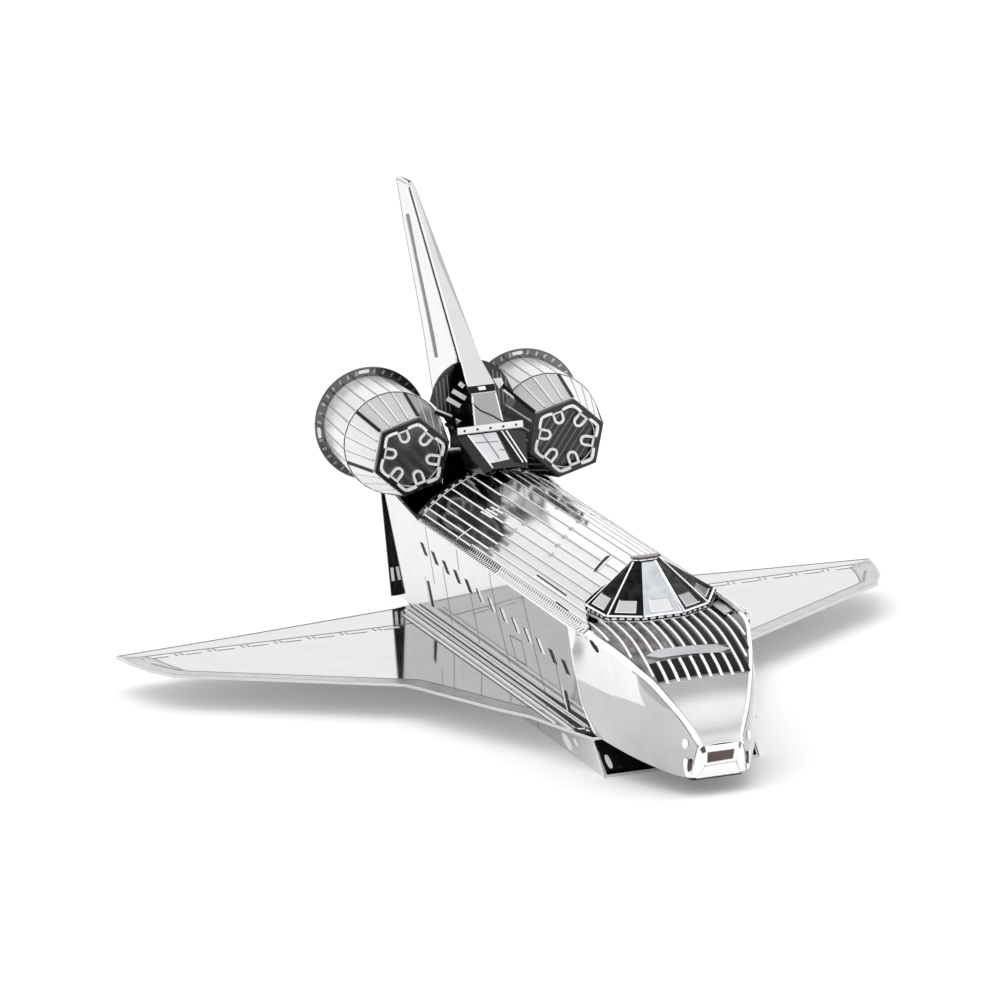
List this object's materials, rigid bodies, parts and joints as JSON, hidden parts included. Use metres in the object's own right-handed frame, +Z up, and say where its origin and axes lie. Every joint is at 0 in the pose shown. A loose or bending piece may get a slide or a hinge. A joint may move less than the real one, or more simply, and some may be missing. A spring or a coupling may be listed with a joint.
{
  "type": "space shuttle desk model",
  "caption": "Small static desk model of a winged space shuttle, folded from thin polished steel sheet with etched lines, bent tabs, an arched roof, faceted pods and a tall fin.",
  "frame": {"origin": "middle of the bounding box, on the surface that the belly rests on", "axes": "the nose points along -Y, +Z is up, X runs across the wings"},
  "size_m": [0.0562, 0.0806, 0.032],
  "materials": {
    "wall_sheet": "polished thin steel sheet",
    "bright_sheet": "mirror polished thin steel sheet",
    "dark_sheet": "polished thin steel sheet in shade",
    "nozzle_sheet": "rolled thin steel sheet"
  },
  "bodies": {
    "root": {"wing_plate": "wall_sheet", "belly_tray": "dark_sheet", "side_wall_starboard": "wall_sheet", "side_wall_port": "wall_sheet", "root_strip_starboard": "bright_sheet", "root_strip_port": "bright_sheet", "bay_roof": "wall_sheet", "neck_ramp": "wall_sheet", "deck_edge": "bright_sheet", "aft_deck": "dark_sheet", "dome_wall": "dark_sheet", "tail_wall": "dark_sheet", "engine_bell_1": "nozzle_sheet", "engine_bell_2": "nozzle_sheet", "engine_bell_3": "nozzle_sheet", "fin_edge": "bright_sheet", "fin_skin_starboard": "wall_sheet", "fin_skin_port": "wall_sheet", "cheek_starboard": "bright_sheet", "cheek_port": "bright_sheet", "nose_hood": "dark_sheet", "nose_floor": "dark_sheet", "nose_tip": "bright_sheet", "canopy": "dark_sheet", "canopy_cap": "bright_sheet", "pod_shell_starboard": "wall_sheet", "pod_shell_port": "wall_sheet", "pod_front_starboard": "dark_sheet", "pod_face_starboard": "dark_sheet", "pod_front_port": "dark_sheet", "pod_face_port": "dark_sheet", "pod_ring_starboard": "dark_sheet", "pod_ring_port": "dark_sheet"}
  },
  "joints": []
}
